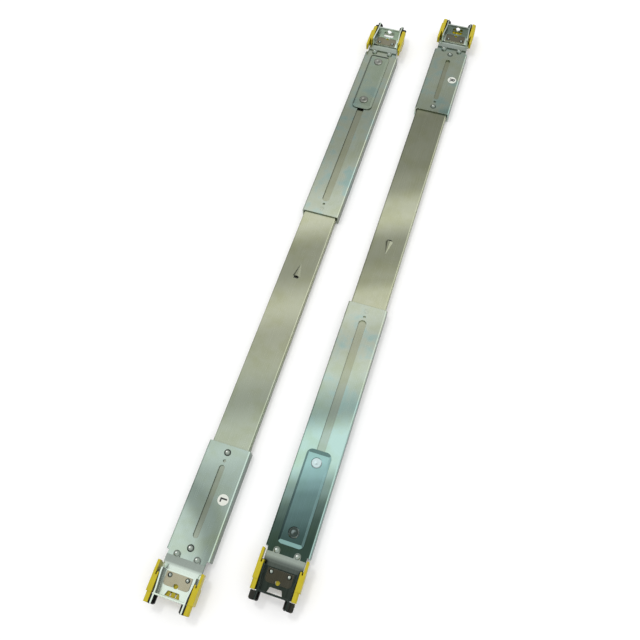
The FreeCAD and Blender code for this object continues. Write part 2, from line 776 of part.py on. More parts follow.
def rolled_member(label, outline, start, length):
    """A rolled channel: its outline drawn across the rail and drawn out along it."""
    body = new_body(label)
    profile = new_sketch(body, label + "_profile", "XZ_Plane", -as_size(start))
    draw_polygon(profile, mirrored(outline))
    pad(body, profile, length, backwards=True)
    return body


def cabinet_member(label):
    """The outer member: a channel, open below, whose flanges bulge round the outer ball rows."""
    sheet_size, bulge = q.member_sheet, q.race_depth
    land_low, land_high = q.outer_race_rise - race_half, q.outer_race_rise + race_half
    lip_inner = intermediate_race + bulge * 2 + q.lip_gap
    waist = cabinet_half - bulge
    outline = [
        (waist, member_top), (waist, land_high + bulge), (cabinet_half, land_high),
        (cabinet_half, land_low), (waist, land_low - bulge), (waist, q.cabinet_foot),
        (lip_inner, q.cabinet_foot), (lip_inner, q.cabinet_foot + sheet_size),
        (waist - sheet_size, q.cabinet_foot + sheet_size), (waist - sheet_size, land_low - bulge),
        (outer_race, land_low), (outer_race, land_high), (waist - sheet_size, land_high + bulge),
        (waist - sheet_size, member_web_under)]
    length = q.rail_length - q.member_inset * 2
    body = rolled_member(label, outline, q.member_inset, length)
    round_edges(body, q.member_sheet, long_edge_at((waist, member_top), (-waist, member_top)))
    holes = new_sketch(body, label + "_holes", "XY_Plane")
    front_radius = q.front_rivet_shank / 2 + q.rivet_clearance
    guide_radius = q.guide_rivet_shank / 2 + q.rivet_clearance
    draw_circle(holes, 0, q.front_rivet_outer_place, front_radius)
    draw_circle(holes, 0, q.front_rivet_inner_place, front_radius)
    draw_circle(holes, 0, q.rail_length - q.guide_rivet_outer_place, guide_radius)
    draw_circle(holes, 0, q.rail_length - q.guide_rivet_inner_place, guide_radius)
    cut_through(body, holes)
    raised_tab(body, label)
    return body


def raised_tab(body, label):
    """A tab sheared across its front and drawn up from the web, which tapers to nothing behind."""
    tail = q.lance_place + q.lance_length
    skin = q.member_sheet
    shapes = {}
    for kind, at, scale in (("mouth", q.lance_place, 1), ("tail", tail, 0.08)):
        foot = q.lance_width / 2 * scale
        crest = q.lance_crest / 2 * scale
        rise = q.lance_rise * scale
        outer = new_sketch(body, f"{label}_tab_{kind}", "XZ_Plane", -at)
        draw_polygon(outer, mirrored([
            (foot, member_web_under), (foot, member_top), (crest, member_top + rise)]))
        inner = new_sketch(body, f"{label}_hollow_{kind}", "XZ_Plane", -at)
        draw_polygon(inner, mirrored([
            (foot - skin * scale, member_web_under - skin), (foot - skin * scale, member_web_under),
            (crest - skin / 2 * scale, member_web_under + rise)]))
        shapes[kind] = (outer, inner)
    for index, step in enumerate(("PartDesign::AdditiveLoft", "PartDesign::SubtractiveLoft")):
        loft = body.newObject(step, f"{label}_tab_loft{index}")
        loft.Profile = shapes["mouth"][index]
        loft.Sections = [shapes["tail"][index]]
        loft.Ruled = True
        shapes["mouth"][index].Visibility = False
        shapes["tail"][index].Visibility = False
    slit = new_sketch(body, label + "_tab_slit", "XY_Plane")
    slit_half = q.lance_slit_width / 2
    draw_rectangle(slit, -slit_half, slit_half, q.lance_place - q.lance_slit, q.lance_place)
    cut_through(body, slit)


def intermediate_member(label):
    """The middle member: outer races above on its outside, inner races below on its inside."""
    sheet_size, bulge = q.member_sheet, q.race_depth
    race = intermediate_race
    high_low = q.outer_race_rise - race_half
    low_high, low_low = q.inner_race_rise + race_half, q.inner_race_rise - race_half
    foot = q.intermediate_foot
    outline = [
        (race, q.intermediate_rise), (race, high_low), (race + bulge, high_low - bulge),
        (race + bulge, low_high + bulge / 2), (race + bulge * 2, low_high - bulge / 2),
        (race + bulge * 2, low_low + bulge / 2), (race + bulge, low_low - bulge / 2), (race + bulge, foot),
        (race + bulge - sheet_size, foot), (race + bulge - sheet_size, low_low - bulge / 2),
        (inner_race, low_low + bulge / 2), (inner_race, low_high - bulge / 2),
        (race + bulge - sheet_size, low_high + bulge / 2), (race + bulge - sheet_size, high_low - bulge),
        (race - sheet_size, high_low), (race - sheet_size, q.intermediate_rise - sheet_size)]
    length = q.rail_length - q.intermediate_inset * 2
    return rolled_member(label, outline, q.intermediate_inset, length)


def chassis_member(label):
    """The inner member, screwed to the server: a channel open above, with keyholes in its web."""
    sheet_size, bulge = q.member_sheet, q.race_depth
    low_high, low_low = q.inner_race_rise + race_half, q.inner_race_rise - race_half
    foot = q.chassis_foot
    edge = chassis_race + bulge
    outline = [
        (edge - sheet_size, foot + sheet_size), (edge - sheet_size, low_low - bulge / 2),
        (chassis_race - sheet_size, low_low + bulge / 2), (chassis_race - sheet_size, low_high - bulge / 2),
        (edge - sheet_size, low_high + bulge / 2), (edge - sheet_size, q.chassis_rise),
        (edge, q.chassis_rise), (edge, low_high + bulge / 2),
        (chassis_race, low_high - bulge / 2), (chassis_race, low_low + bulge / 2),
        (edge, low_low - bulge / 2), (edge, foot)]
    body = rolled_member(label, outline, q.chassis_start, chassis_length)
    keyhole_spacing = (chassis_length - q.keyhole_margin * 2) / (KEYHOLES - 1)
    for index in range(KEYHOLES):
        along = q.chassis_start + q.keyhole_margin + keyhole_spacing * index
        head = new_sketch(body, f"{label}_keyhole_head{index}", "XY_Plane")
        draw_circle(head, 0, along, q.keyhole_head / 2)
        cut_through(body, head)
        neck = new_sketch(body, f"{label}_keyhole_neck{index}", "XY_Plane")
        draw_slot(neck, along - q.keyhole_neck / 2, along + q.keyhole_drop, q.keyhole_neck)
        cut_through(body, neck)
    screws = new_sketch(body, label + "_screws", "XY_Plane")
    for along in (q.server_screw_margin, chassis_length - q.server_screw_margin):
        draw_circle(screws, 0, q.chassis_start + along, q.server_screw / 2)
    cut_through(body, screws)
    return body


def ball_places(start, length):
    """Where the balls of one row lie along the cage, evenly from one end to the other."""
    pitch = (length - q.cage_end * 2) / (BALLS_PER_ROW - 1)
    return [start + q.cage_end + pitch * index for index in range(BALLS_PER_ROW)]


def ball_cage(label, start, length, across, web_low, leg_low, level, ball):
    """A thin channel whose legs hold the balls of both rows in round holes."""
    half = q.cage_sheet / 2
    outline = [
        (across + half, leg_low), (across + half, web_low + q.cage_sheet),
        (-(across + half), web_low + q.cage_sheet), (-(across + half), leg_low),
        (-(across - half), leg_low), (-(across - half), web_low),
        (across - half, web_low), (across - half, leg_low)]
    body = new_body(label)
    profile = new_sketch(body, label + "_profile", "XZ_Plane", -start)
    draw_polygon(profile, outline)
    pad(body, profile, length, backwards=True)
    pockets = new_sketch(body, label + "_pockets", "YZ_Plane", -across - q.cage_sheet)
    for along in ball_places(start, length):
        draw_circle(pockets, along, level, ball / 2 + q.ball_pocket_clearance)
    cut_through(body, pockets)
    return body


def ball_rows(label, start, length, across, level, ball):
    balls = []
    for side in (-1, 1):
        for index, along in enumerate(ball_places(start, length)):
            one = doc.addObject("Part::Sphere", f"{label}_{'left' if side < 0 else 'right'}{index}")
            bind(one, "Radius", ball / 2)
            bind(one, "Placement.Base.x", across * side)
            bind(one, "Placement.Base.y", along)
            bind(one, "Placement.Base.z", level)
            balls.append(one)
    return group(label, balls)


def side_label(label, across, along):
    disc = doc.addObject("Part::Cylinder", label + "_disc")
    bind(disc, "Radius", q.label_diameter / 2)
    bind(disc, "Height", q.label_thickness)
    bind(disc, "Placement.Base.x", across)
    bind(disc, "Placement.Base.y", along)
    bind(disc, "Placement.Base.z", web_top)
    return group(label, [disc])


# Assembly: the left rail's front is its near end, and the right rail's front is its far end.
cage_middle = q.rail_length / 2 - q.cage_setback
outer_cage_start = cage_middle - q.outer_cage_length / 2
inner_cage_start = cage_middle - q.inner_cage_length / 2
outer_cage = dict(start=outer_cage_start, length=q.outer_cage_length, across=outer_ball_across,
                  level=q.outer_race_rise, ball=q.outer_ball)
inner_cage = dict(start=inner_cage_start, length=q.inner_cage_length, across=inner_ball_across,
                  level=q.inner_race_rise, ball=q.inner_ball)
outer_cage_web = (member_web_under + q.intermediate_rise - q.cage_sheet) / 2
inner_cage_web = (q.intermediate_rise - q.member_sheet + q.chassis_rise - q.cage_sheet) / 2
outer_leg_low = q.outer_race_rise - q.outer_ball / 2 - q.cage_sheet
inner_leg_low = q.inner_race_rise - q.inner_ball / 2 - q.cage_sheet / 2

subparts = []


def keep(thing, rail, far_end, inward=0):
    place(thing, rail, far_end, inward)
    subparts.append(thing)


for rail in ("left", "right"):
    front_far = rail == "right"
    rear_far = not front_far
    keep(cabinet_member(f"{rail}_cabinet_member"), rail, front_far)
    keep(intermediate_member(f"{rail}_intermediate_member"), rail, front_far)
    keep(chassis_member(f"{rail}_chassis_member"), rail, front_far)
    keep(ball_cage(f"{rail}_outer_ball_cage", web_low=outer_cage_web, leg_low=outer_leg_low, **outer_cage),
         rail, front_far)
    keep(ball_rows(f"{rail}_outer_balls", **outer_cage), rail, front_far)
    keep(ball_cage(f"{rail}_inner_ball_cage", web_low=inner_cage_web, leg_low=inner_leg_low, **inner_cage),
         rail, front_far)
    keep(ball_rows(f"{rail}_inner_balls", **inner_cage), rail, front_far)
    keep(front_bracket(f"{rail}_front_bracket"), rail, front_far)
    keep(front_rivets(f"{rail}_front_bracket_rivets"), rail, front_far)
    label_across = -q.label_across if front_far else q.label_across
    label_along = q.label_along_right if front_far else q.label_along_left
    keep(side_label(f"{rail}_side_label", label_across, label_along), rail, front_far)
    keep(rear_bracket(f"{rail}_rear_bracket"), rail, rear_far)
    keep(guide_plate(f"{rail}_guide_plate"), rail, rear_far)
    keep(guide_rivets(f"{rail}_guide_rivets"), rail, rear_far)
    for end, far_end in (("front", front_far), ("rear", rear_far)):
        keep(end_frame(f"{rail}_{end}_end_frame"), rail, far_end)
        keep(leaf_spring(f"{rail}_{end}_leaf_spring"), rail, far_end)
        keep(leaf_rivets(f"{rail}_{end}_leaf_rivets"), rail, far_end)
        keep(clinch_rivets(f"{rail}_{end}_clinch_rivets"), rail, far_end)
        keep(latch_pins(f"{rail}_{end}_latch_pins"), rail, far_end)
        drawn_in = q.carriage_travel if end == "rear" else 0
        keep(carriage(f"{rail}_{end}_carriage"), rail, far_end, drawn_in)

doc.recompute()

for thing in doc.Objects:
    if "Invalid" in thing.State or "Error" in thing.State:
        raise RuntimeError(f"{thing.Name} did not build: {thing.State}")
for thing in subparts:
    if thing.Shape.isNull() or not thing.Shape.isValid() or not thing.Shape.Solids:
        raise RuntimeError(f"{thing.Label} has no valid solid")

os.makedirs("parts", exist_ok=True)
for thing in subparts:
    thing.Shape.exportStep(f"parts/{thing.Label}.step")
    print(f"{thing.Label}: {len(thing.Shape.Solids)} solids, {thing.Shape.Volume:.0f} mm3")
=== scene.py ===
# %% [markdown]
# # A pair of sliding server rails
# Two rack slides lie side by side on white paper, webs up, pointing opposite ways. The construction model
# gives every solid at real size, in metres: brackets, slide members, rivets, latch pins and the yellow
# carriages. This lesson dresses it. It sets up the camera and a small photo tent, makes one finish after
# another for the real metals and plastics, and adds the letters that a construction model leaves out.

# %% Load the rails
import bpy
import math
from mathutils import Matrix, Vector


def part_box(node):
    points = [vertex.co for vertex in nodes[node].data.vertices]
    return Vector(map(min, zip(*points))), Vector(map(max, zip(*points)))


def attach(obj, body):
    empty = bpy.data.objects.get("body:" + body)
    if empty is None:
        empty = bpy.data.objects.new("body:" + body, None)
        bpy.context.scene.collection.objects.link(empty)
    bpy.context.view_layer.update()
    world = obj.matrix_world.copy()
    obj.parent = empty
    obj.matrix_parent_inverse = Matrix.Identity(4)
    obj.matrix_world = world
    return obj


MM = 0.001
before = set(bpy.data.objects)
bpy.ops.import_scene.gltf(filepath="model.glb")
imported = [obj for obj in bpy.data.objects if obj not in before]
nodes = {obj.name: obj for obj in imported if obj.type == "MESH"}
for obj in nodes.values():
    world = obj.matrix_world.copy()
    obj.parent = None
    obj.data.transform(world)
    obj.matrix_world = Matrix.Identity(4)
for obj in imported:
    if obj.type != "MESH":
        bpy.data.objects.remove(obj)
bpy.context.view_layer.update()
bpy.ops.object.select_all(action="DESELECT")
bpy.context.scene.view_settings.view_transform = "Standard"

# %% [markdown]
# ## Camera
# The camera stands above the near ends and a little to the right, and looks down along the rails. Its place
# comes from the known sizes of the rails: where their corners, rivets and pins lie in the picture leaves only
# one place to stand. Setting the numbers beats moving a camera by eye, because a slim object shows every
# degree.

# %% Camera
CAMERA_PLACE = (0.1077, -0.3640, 0.6386)
CAMERA_TURN = (25.913, 1.476, 17.896)
LENS = 37.46
SENSOR = 36.0

camera_data = bpy.data.cameras.new("camera")
camera = bpy.data.objects.new("camera", camera_data)
bpy.context.scene.collection.objects.link(camera)
camera.location = CAMERA_PLACE
camera.rotation_euler = [math.radians(angle) for angle in CAMERA_TURN]
camera_data.lens = LENS
camera_data.sensor_width = SENSOR
bpy.context.scene.camera = camera
print("camera", CAMERA_PLACE)

# %% [markdown]
# ## Helpers for materials
# Colours are written as they look on a screen, as sRGB hex values, and a renderer works in linear light, so one
# function turns one into the other. Another adds a node with its settings and links, and two small ones fill a
# colour ramp and start a material. With these, each finish below reads as a list of what it is made of.

# %% Colour and node helpers
COLOUR_MIX = {"data_type": "RGBA"}
COLOUR_MULTIPLY = {"data_type": "RGBA", "blend_type": "MULTIPLY"}


def linear(hex_colour):
    """An sRGB hex colour as linear red, green, blue and a full alpha."""
    channels = [int(hex_colour[i:i + 2], 16) / 255 for i in (1, 3, 5)]
    return [c / 12.92 if c <= 0.04045 else ((c + 0.055) / 1.055) ** 2.4 for c in channels] + [1.0]


def add_node(tree, kind, settings=None, **inputs):
    """Adds a node. Settings are its properties. Inputs are values, or sockets to link from, each by the
    socket's name, or by an underscore and the socket's number where several share a name."""
    node = tree.nodes.new(kind)
    for name, value in (settings or {}).items():
        setattr(node, name, value)
    for name, value in inputs.items():
        key = int(name[1:]) if name[1:].isdigit() else name.replace("_", " ")
        if isinstance(value, bpy.types.NodeSocket):
            tree.links.new(value, node.inputs[key])
        else:
            node.inputs[key].default_value = value
    return node


def set_stops(ramp, stops):
    """Gives a colour ramp its stops, as (place from 0 to 1, linear colour)."""
    elements = ramp.color_ramp.elements
    while len(elements) < len(stops):
        elements.new(0.5)
    for element, (place, colour) in zip(elements, stops):
        element.position = place
        element.color = colour


def new_material(name):
    """An empty material: its node tree and its output node."""
    material = bpy.data.materials.new(name)
    material.use_nodes = True
    material.node_tree.nodes.clear()
    output = material.node_tree.nodes.new("ShaderNodeOutputMaterial")
    return material, material.node_tree, output


print("white is", linear("#ffffff"))

# %% [markdown]
# ## The photo tent
# Bright plated steel has hardly any look of its own: it shows what stands around it. Product photographs of it
# are taken in a white tent, so the world is one too. It is white overhead and falls off towards the table,
# where the tent is open and the room is darker, and that fall darkens the rims of the rivets, which their
# finish also paints darker. The picture's backdrop stays plain white, through Light Path.

# %% World
ROOM_LIGHT = 0.30
TENT_LIGHT = 1.05
TENT_EDGE = (0.10, 0.62)

world = bpy.data.worlds.new("photo tent")
bpy.context.scene.world = world
world.use_nodes = True
sky = world.node_tree
sky.nodes.clear()
sky_output = sky.nodes.new("ShaderNodeOutputWorld")
direction = add_node(sky, "ShaderNodeTexCoord")
parts = add_node(sky, "ShaderNodeSeparateXYZ", Vector=direction.outputs["Generated"])
tent = add_node(sky, "ShaderNodeMapRange", {"interpolation_type": "SMOOTHSTEP"}, _0=parts.outputs["Z"],
                _1=TENT_EDGE[0], _2=TENT_EDGE[1], _3=ROOM_LIGHT, _4=TENT_LIGHT)
tent_light = add_node(sky, "ShaderNodeBackground", Color=(1, 1, 1, 1), Strength=tent.outputs[0])
backdrop = add_node(sky, "ShaderNodeBackground", Color=(1, 1, 1, 1), Strength=1.0)
rays = add_node(sky, "ShaderNodeLightPath")
sky_mix = add_node(sky, "ShaderNodeMixShader", _0=rays.outputs["Is Camera Ray"],
                   _1=tent_light.outputs[0], _2=backdrop.outputs[0])
sky.links.new(sky_mix.outputs[0], sky_output.inputs["Surface"])
print("tent light", TENT_LIGHT, "room light", ROOM_LIGHT)

# %% [markdown]
# ## Floor
# The rails lie on white sweep paper, which a plain sheet of geometry stands for. For the camera and in
# reflections the paper glows a little by itself, so that it reads as white, and it still takes soft shadows.
# More lamps would whiten it too, but they would bleach the rails.

# %% Floor
FLOOR_SIZE = 8.0
PAPER_GLOW = 0.14

bpy.ops.mesh.primitive_plane_add(size=FLOOR_SIZE, location=(0, 0, 0))
floor = bpy.context.object
floor.name = "floor"
paper, paper_tree, paper_output = new_material("white sweep paper")
paper_rays = add_node(paper_tree, "ShaderNodeLightPath")
paper_seen = add_node(paper_tree, "ShaderNodeMath", {"operation": "MAXIMUM"},
                      _0=paper_rays.outputs["Is Camera Ray"], _1=paper_rays.outputs["Is Glossy Ray"])
paper_diffuse = add_node(paper_tree, "ShaderNodeBsdfDiffuse", Color=linear("#f0f0f0"))
paper_glow = add_node(paper_tree, "ShaderNodeEmission", Color=(1, 1, 1, 1), Strength=PAPER_GLOW)
paper_bright = add_node(paper_tree, "ShaderNodeAddShader", _0=paper_diffuse.outputs[0],
                        _1=paper_glow.outputs[0])
paper_mix = add_node(paper_tree, "ShaderNodeMixShader", _0=paper_seen.outputs[0],
                     _1=paper_diffuse.outputs[0], _2=paper_bright.outputs[0])
paper_tree.links.new(paper_mix.outputs[0], paper_output.inputs["Surface"])
floor.data.materials.append(paper)
print("paper", FLOOR_SIZE, "m across, glow", PAPER_GLOW)

# %% [markdown]
# ## Key lamp
# One soft box at the upper left gives the shadows to the right of the rails. It is hidden from reflections,
# because its own bright spot would lie on the flat sheet, where a tent's wall shows none.

# %% Key lamp
KEY_PLACE = (-0.55, 0.10, 1.8)
KEY_SIZE = 0.3
KEY_POWER = 6.0

key_data = bpy.data.lights.new("key softbox", "AREA")
key_data.shape = "SQUARE"
key_data.size = KEY_SIZE
key_data.energy = KEY_POWER
key = bpy.data.objects.new("key softbox", key_data)
bpy.context.scene.collection.objects.link(key)
key.location = KEY_PLACE
key.rotation_euler = (-Vector(KEY_PLACE)).to_track_quat("-Z", "Y").to_euler()
key.visible_glossy = False
print("key lamp", KEY_PLACE, KEY_POWER, "W")

# %% [markdown]
# ## Painted reflection bands along the rails
# The panels and seams of the tent leave broad light and dark bands on plated sheet. They could be cast by
# panels set up around the rails, but then every lamp that moves would move them. Here they are painted
# reflections in the finish: a row of about twenty soft stops for each rail gives the brightness, from 0 to 1,
# by the place along it in millimetres. The stops were typed and fitted over several rounds to colours measured
# at points along the rails, in the photo and in the render. Pieces that look at another part of the tent have
# shorter rows of painted reflection of their own: the end frames, their leaf springs, the right rail's guide
# plate, and the guide rivets.

# %% Rows of brightness
# Each row paints reflection brightness into the colour, by the place along the rail in millimetres.
LEFT_RAIL = [(-347, 0.80), (-329, 0.70), (-300, 0.35), (-290, 0.33), (-272, 0.47), (-238, 0.70), (-222, 0.66),
             (-182, 0.42), (-148, 0.54), (-112, 0.47), (-76, 0.64), (-28, 0.34), (-2, 0.34), (44, 0.74),
             (66, 0.66), (100, 0.50), (150, 0.34), (205, 0.29), (250, 0.37), (340, 0.41)]
RIGHT_RAIL = [(-306, 0.00), (-282, 0.04), (-268, 0.12), (-250, 0.38), (-222, 1.00), (-198, 1.00),
              (-170, 0.48), (-128, 0.78), (-90, 0.57), (-54, 0.74), (-34, 0.68), (-14, 0.42), (16, 0.30),
              (34, 0.31), (70, 0.70), (86, 0.64), (118, 0.33), (150, 0.23), (226, 0.18), (240, 0.26),
              (280, 0.31), (340, 0.29)]
RIGHT_GUIDE = [(-312, 0.05), (-296, 0.08), (-276, 0.21), (-264, 0.31), (-256, 0.33), (-246, 0.52),
               (-234, 0.78), (-222, 1.00)]
LEFT_FRAMES = [(-376, 1.00), (-351, 1.00), (-347, 0.40), (-335, 0.38), (300, 0.38), (317, 0.42), (322, 1.00),
               (334, 0.90), (346, 0.75)]
RIGHT_FRAMES = [(-346, 0.02), (-319, 0.02), (-316, 0.42), (-305, 0.38), (340, 0.31), (347, 0.34),
                (351, 1.00), (358, 0.60), (376, 0.45)]
LEFT_LEAVES = [(-376, 0.95), (346, 0.45)]
RIGHT_LEAVES = [(-346, 0.03), (376, 0.20)]
LEFT_RIVETS = [(224, 0.17), (290, 0.23)]
RIGHT_RIVETS = [(-290, 0.02), (-224, 0.90)]
print("stops along the left rail", len(LEFT_RAIL), "and along the right", len(RIGHT_RAIL))

# %% [markdown]
# ## From rows to bands
# A row becomes a colour ramp, which is read by the place along the rail. The bands lie across each rail with a
# slight slant, and near the left rail's front they lean more, so the place along the rail is first shifted by
# the place across it. One finish serves both rails, and takes the row of the rail that it is on.

# %% Bands
RAIL_ACROSS = 42.25 * MM
BAND_END = 380 * MM
LEAN_START = -340 * MM
LEAN_END = -245 * MM
NEAR_LEAN = 2.0
FAR_LEAN = -0.4


def band_row(tree, place, stops):
    """A row of brightness stops along a rail, as a soft ramp."""
    ramp = add_node(tree, "ShaderNodeValToRGB", _0=place)
    ramp.color_ramp.interpolation = "EASE"
    half = BAND_END / MM
    set_stops(ramp, [((along + half) / (2 * half), (level, level, level, 1)) for along, level in stops])
    return ramp.outputs[0]


def tent_bands(tree, spot, left, right, leans):
    """The brightness of the bands at each place, whether that is on the right rail, and its Y."""
    place = add_node(tree, "ShaderNodeSeparateXYZ", Vector=spot)
    x, y = place.outputs["X"], place.outputs["Y"]
    on_right = add_node(tree, "ShaderNodeMath", {"operation": "GREATER_THAN"}, _0=x, _1=0.0)
    middle = add_node(tree, "ShaderNodeMapRange", _0=on_right.outputs[0], _3=-RAIL_ACROSS, _4=RAIL_ACROSS)
    across = add_node(tree, "ShaderNodeMath", {"operation": "SUBTRACT"}, _0=x, _1=middle.outputs[0])
    left_lean = add_node(tree, "ShaderNodeMapRange", _0=y, _1=LEAN_START, _2=LEAN_END,
                         _3=NEAR_LEAN * leans, _4=FAR_LEAN * leans)
    lean = add_node(tree, "ShaderNodeMix", _0=on_right.outputs[0], _2=left_lean.outputs[0],
                    _3=FAR_LEAN * leans)
    leaned = add_node(tree, "ShaderNodeMath", {"operation": "MULTIPLY_ADD"}, _0=across.outputs[0],
                      _1=lean.outputs[0], _2=y)
    along = add_node(tree, "ShaderNodeMapRange", _0=leaned.outputs[0], _1=-BAND_END, _2=BAND_END)
    rows = add_node(tree, "ShaderNodeMix", COLOUR_MIX, _0=on_right.outputs[0],
                    _6=band_row(tree, along.outputs[0], left), _7=band_row(tree, along.outputs[0], right))
    return rows.outputs[2], on_right.outputs[0], y


print("bands from", -BAND_END, "to", BAND_END, "m along the rails")

# %% [markdown]
# ## Painted light on slopes, bends and upright faces
# A face that is tilted along the rail looks at another part of the tent, so it leaves its band for a painted
# level of its own, which differs between the rails. A bend that looks to the right gets a painted bright line,
# and one that looks to the left is painted a little darker. A face that stands upright looks out of the tent and
# has one painted level of shade all over. Reflections alone could give this only in a tent modelled seam by
# seam. The way a face looks comes from its true normal, so it holds from any side.

# %% Light on slopes and bends
TILT_PARTS = (0.02, 0.40)
TILT_TURN = 0.3
TILT_NEAR = (0.38, 0.85)
TILT_FAR = (0.26, 0.06)
BEND_TURN = 0.1
BEND_PEAK = 0.5
LEFT_BEND = -0.2
RIGHT_BEND = 2.0
UPRIGHT_PARTS = (0.65, 0.95)


def light_level(tree, bands, on_right, facing, tilts, bends, upright):
    """How bright each place is painted, from its band and the way its face looks, and how upright the face is.
    """
    x, y = facing.outputs["X"], facing.outputs["Y"]
    tilt_near = add_node(tree, "ShaderNodeMapRange", _0=on_right, _3=TILT_NEAR[0], _4=TILT_NEAR[1])
    tilt_far = add_node(tree, "ShaderNodeMapRange", _0=on_right, _3=TILT_FAR[0], _4=TILT_FAR[1])
    tilt_level = add_node(tree, "ShaderNodeMapRange", _0=y, _1=-TILT_TURN, _2=TILT_TURN,
                          _3=tilt_near.outputs[0], _4=tilt_far.outputs[0])
    slope = add_node(tree, "ShaderNodeMath", {"operation": "ABSOLUTE"}, _0=y)
    tilt_part = add_node(tree, "ShaderNodeMapRange", _0=slope.outputs[0], _1=TILT_PARTS[0],
                         _2=TILT_PARTS[1], _3=0.0, _4=tilts)
    tilted = add_node(tree, "ShaderNodeMix", _0=tilt_part.outputs[0], _2=bands, _3=tilt_level.outputs[0])
    sideways = add_node(tree, "ShaderNodeMath", {"operation": "ABSOLUTE"}, _0=x)
    bend = add_node(tree, "ShaderNodeMath", {"operation": "PINGPONG"}, _0=sideways.outputs[0],
                    _1=BEND_PEAK)
    bend_light = add_node(tree, "ShaderNodeMapRange", _0=x, _1=-BEND_TURN, _2=BEND_TURN,
                          _3=LEFT_BEND * bends, _4=RIGHT_BEND * bends)
    bent = add_node(tree, "ShaderNodeMath", {"operation": "MULTIPLY_ADD"}, _0=bend.outputs[0],
                    _1=bend_light.outputs[0], _2=tilted.outputs[0])
    stands = add_node(tree, "ShaderNodeMapRange", {"interpolation_type": "SMOOTHSTEP"},
                      _0=sideways.outputs[0], _1=UPRIGHT_PARTS[0], _2=UPRIGHT_PARTS[1])
    level = add_node(tree, "ShaderNodeMix", _0=stands.outputs[0], _2=bent.outputs[0], _3=upright)
    return level.outputs[0], stands.outputs[0]


print("levels of slopes on the left and right rail:", TILT_NEAR, "looking near,", TILT_FAR, "looking far")

# %% [markdown]
# ## Tints of the plating, painted reflection and painted shade
# The passivation over the zinc is thicker in some places, which shows as a cloudy warm tint. The near ends of
# the rails get a painted cool reflection, the right one more than the left, and elsewhere cool patches lie
# between the warm clouds. Where the brackets cover the slide member, a painted shade makes it darker and
# cooler. An image texture could hold all this, but it would stretch over the bends, so a noise of real size
# and the place along the rail set it.

# %% Tints
CLOUD_SIZE = 22 * MM
CLOUD_PARTS = (0.42, 0.68)
CLOUD_STRENGTH = 0.65
PATCH_PARTS = (0.50, 0.34)
COOL_START = -210 * MM
COOL_END = -90 * MM
LEFT_COOL = 0.45
BARE_MIDDLE = -92 * MM
COVERED_FROM = 138 * MM
COVERED_BLEND = 4 * MM


def tinted(tree, tone, spot, along, on_right, tint, cool, patches, under_bracket_shade):
    """A sheet's tone with warm clouds, painted cool reflection at the near ends, cool patches, painted shade
    where covered.
    """
    cloud = add_node(tree, "ShaderNodeTexNoise", Vector=spot, Scale=1 / CLOUD_SIZE, Detail=3.0, Roughness=0.55)
    cloud_part = add_node(tree, "ShaderNodeMapRange", _0=cloud.outputs["Fac"], _1=CLOUD_PARTS[0],
                          _2=CLOUD_PARTS[1], _3=0.0, _4=CLOUD_STRENGTH)
    clouded = add_node(tree, "ShaderNodeMix", COLOUR_MULTIPLY, _0=cloud_part.outputs[0], _6=tone,
                       _7=linear(tint))
    # Painted cool reflection: the near ends of the rails are tinted cool.
    near_end_reflection = add_node(tree, "ShaderNodeMapRange", {"interpolation_type": "SMOOTHSTEP"}, _0=along,
                        _1=COOL_START, _2=COOL_END, _3=1.0, _4=0.0)
    cool_patch = add_node(tree, "ShaderNodeMapRange", _0=cloud.outputs["Fac"], _1=PATCH_PARTS[0],
                          _2=PATCH_PARTS[1], _3=0.0, _4=patches)
    cool_rail = add_node(tree, "ShaderNodeMapRange", _0=on_right, _3=LEFT_COOL, _4=1.0)
    cool_part = add_node(tree, "ShaderNodeMix", _0=near_end_reflection.outputs[0], _2=cool_patch.outputs[0],
                         _3=cool_rail.outputs[0])
    cooled = add_node(tree, "ShaderNodeMix", COLOUR_MULTIPLY, _0=cool_part.outputs[0],
                      _6=clouded.outputs[2], _7=linear(cool))
    heading = add_node(tree, "ShaderNodeMapRange", _0=on_right, _3=1.0, _4=-1.0)
    from_middle = add_node(tree, "ShaderNodeMath", {"operation": "MULTIPLY_ADD"}, _0=along,
                           _1=heading.outputs[0], _2=-BARE_MIDDLE)
    off_middle = add_node(tree, "ShaderNodeMath", {"operation": "ABSOLUTE"}, _0=from_middle.outputs[0])
    # Painted shade: where the brackets cover the slide member, it turns darker and cooler.
    under = add_node(tree, "ShaderNodeMapRange", _0=off_middle.outputs[0], _1=COVERED_FROM,
                     _2=COVERED_FROM + COVERED_BLEND, _3=0.0, _4=1.0)
    shaded = add_node(tree, "ShaderNodeMix", COLOUR_MULTIPLY, _0=under.outputs[0], _6=cooled.outputs[2],
                      _7=linear(under_bracket_shade))
    return shaded.outputs[2]


print("clouds of about", CLOUD_SIZE / MM, "mm")

# %% [markdown]
# ## Rolled and plated sheet
# The brackets, frames and slide members are all cold-rolled sheet, plated with zinc after forming. One function
# makes such a finish, because the pieces differ only in colour, gloss and rows. Rolling leaves fine lines along
# the sheet, here a noise drawn out along the rail. Real rolling lines are some 0.05 mm apart, too fine to show,
# so they are drawn at about 0.5 mm. A Bevel node rounds the construction model's sharp edges for the light, as
# the real sheet's edges are, and where it does, the colour goes over to the edge colour: partly plating worn
# at the edge, partly a painted highlight along it.

# %% Plated sheet
NOISE_PARTS = (0.3, 0.7)
GRAIN_ACROSS = 0.5 * MM
GRAIN_ALONG = 60 * MM
GRAIN_UP = 3 * MM
GRAIN_TONE = 0.02
GRAIN_DEPTH = 0.02 * MM
GRAIN_BUMP = 0.12
EDGE_ROUND = 0.35 * MM
EDGE_WEAR_AND_HIGHLIGHT_PARTS = (0.96, 0.78)
EDGE_WEAR_AND_HIGHLIGHT_STRENGTH = 0.8
UPRIGHT_TINT_SHADE = 0.75


